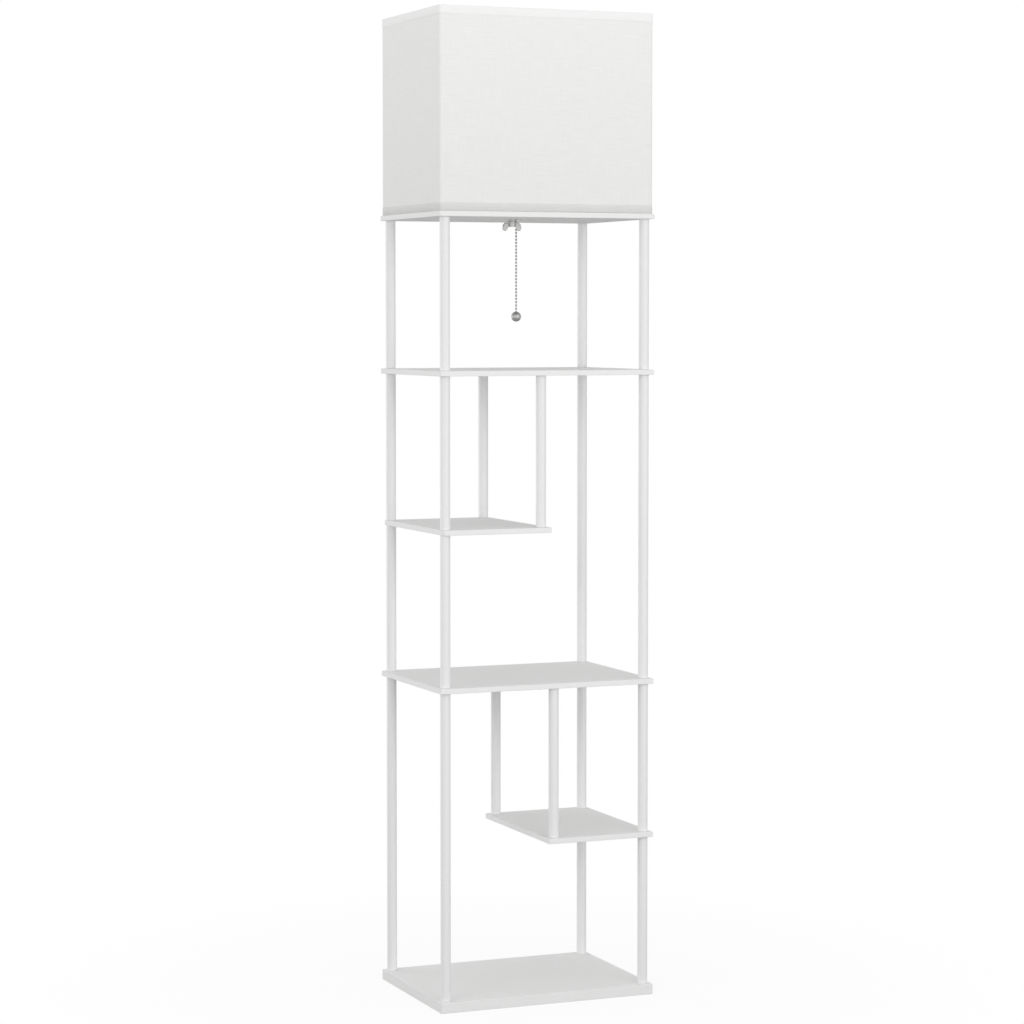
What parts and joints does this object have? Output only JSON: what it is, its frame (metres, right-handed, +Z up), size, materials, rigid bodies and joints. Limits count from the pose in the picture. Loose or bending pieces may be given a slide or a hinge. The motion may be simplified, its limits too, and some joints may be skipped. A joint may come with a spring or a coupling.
{
  "type": "shelf floor lamp",
  "caption": "Tall floor lamp built as an open shelf tower of slim boards on round tube posts, with a rectangular fabric shade on the top board and a bead pull chain.",
  "frame": {"origin": "centre of the base board's underside, on the floor", "axes": "+X along the boards' long side to the viewer's right, front face towards -Y, +Z up"},
  "size_m": [0.397, 0.293, 1.7065],
  "materials": {
    "painted_board": "smooth white paint over fibreboard, satin",
    "painted_tube": "white powder coat, satin",
    "zinc_steel": "bright zinc plate",
    "painted_screw": "white painted heads",
    "nickel": "nickel plate, soft polish",
    "black_plastic": "black moulded phenolic",
    "rubber": "pale soft rubber",
    "white_nylon": "white nylon",
    "brass": "plain brass strip",
    "bulb_metal": "plain aluminium",
    "bulb_plastic": "white moulded plastic",
    "bulb_diffuser": "milky frosted plastic",
    "linen": "white linen weave with slubs",
    "shade_liner": "white styrene lining"
  },
  "bodies": {
    "stand": {"base_board": "painted_board", "lower_small_shelf": "painted_board", "middle_shelf": "painted_board", "upper_small_shelf": "painted_board", "upper_shelf": "painted_board", "lamp_board": "painted_board", "tube_lower_left_front": "painted_tube", "tube_lower_left_back": "painted_tube", "tube_base_right_front": "painted_tube", "tube_base_right_back": "painted_tube", "tube_lower_right_front": "painted_tube", "tube_lower_right_back": "painted_tube", "tube_lower_inner_front": "painted_tube", "tube_lower_inner_back": "painted_tube", "tube_middle_left_front": "painted_tube", "tube_middle_left_back": "painted_tube", "tube_upper_left_front": "painted_tube", "tube_upper_left_back": "painted_tube", "tube_upper_inner_front": "painted_tube", "tube_upper_inner_back": "painted_tube", "tube_upper_right_front": "painted_tube", "tube_upper_right_back": "painted_tube", "tube_top_left_front": "painted_tube", "tube_top_left_back": "painted_tube", "tube_top_right_front": "painted_tube", "tube_top_right_back": "painted_tube", "tube_inserts": "zinc_steel", "shelf_studs": "zinc_steel", "base_bolts": "zinc_steel", "lamp_board_screws": "zinc_steel", "terminal_screws": "zinc_steel", "nipple": "zinc_steel", "shelf_screws": "painted_screw", "chain_guide": "nickel", "lampholder_cap": "nickel", "lampholder_shell": "nickel", "lampholder_insulator": "black_plastic", "cord_grommet": "rubber", "chain_bushing": "white_nylon", "screw_shell": "brass", "centre_contact": "brass"},
    "shade": {"shade_fabric": "linen", "shade_liner": "shade_liner", "shade_top_trim": "linen", "shade_bottom_trim": "linen", "shade_top_ring": "painted_tube", "shade_bottom_ring": "painted_tube"},
    "nut_washer": {"wing_nut_washer": "nickel"},
    "wing_nut": {"wing_nut": "nickel"},
    "bulb_contact": {"bulb_tip": "brass"},
    "bulb": {"bulb_cap": "bulb_metal", "bulb_housing": "bulb_plastic", "led_plate": "bulb_metal", "bulb_diffuser": "bulb_diffuser"},
    "chain_inside": {"chain_upper": "nickel"},
    "chain_swivel": {"chain_link": "nickel"},
    "chain_hanging": {"chain_lower": "nickel", "pull_ball": "nickel"}
  },
  "joints": [
    {"name": "shade_lift", "type": "slide", "parent": "stand", "child": "shade", "axis": [0, 0, 1], "range_m": [0, 0.2]},
    {"name": "nut_travel", "type": "slide", "parent": "stand", "child": "nut_washer", "axis": [0, 0, -1], "range_m": [0, 0.01]},
    {"name": "nut_turn", "type": "hinge", "parent": "nut_washer", "child": "wing_nut", "pos_m": [-0.01636, -0.02021, 1.354], "axis": [0, 0, -1], "range_deg": [0, 3601]},
    {"name": "bulb_travel", "type": "slide", "parent": "stand", "child": "bulb_contact", "axis": [0, 0, 1], "range_m": [0, 0.01089]},
    {"name": "bulb_turn", "type": "hinge", "parent": "bulb_contact", "child": "bulb", "pos_m": [-0.01636, -0.02021, 1.3956], "axis": [0, 0, 1], "range_deg": [0, 1081]},
    {"name": "chain_pull", "type": "slide", "parent": "stand", "child": "chain_inside", "axis": [0, 0, -1], "range_m": [0, 0.012], "stiffness_N_per_m": 300, "springref_m": -0.008},
    {"name": "chain_swing_depth", "type": "hinge", "parent": "chain_inside", "child": "chain_swivel", "pos_m": [0, 0, 1.354], "axis": [1, 0, 0], "range_deg": [-8, 40]},
    {"name": "chain_swing_side", "type": "hinge", "parent": "chain_swivel", "child": "chain_hanging", "pos_m": [0, 0, 1.354], "axis": [0, -1, 0], "range_deg": [-6, 40]}
  ],
  "couplings": [
    {"joint": "nut_turn", "follows": "nut_travel", "rad_per_m": 6283.2},
    {"joint": "bulb_turn", "follows": "bulb_travel", "rad_per_m": 1730.9}
  ]
}
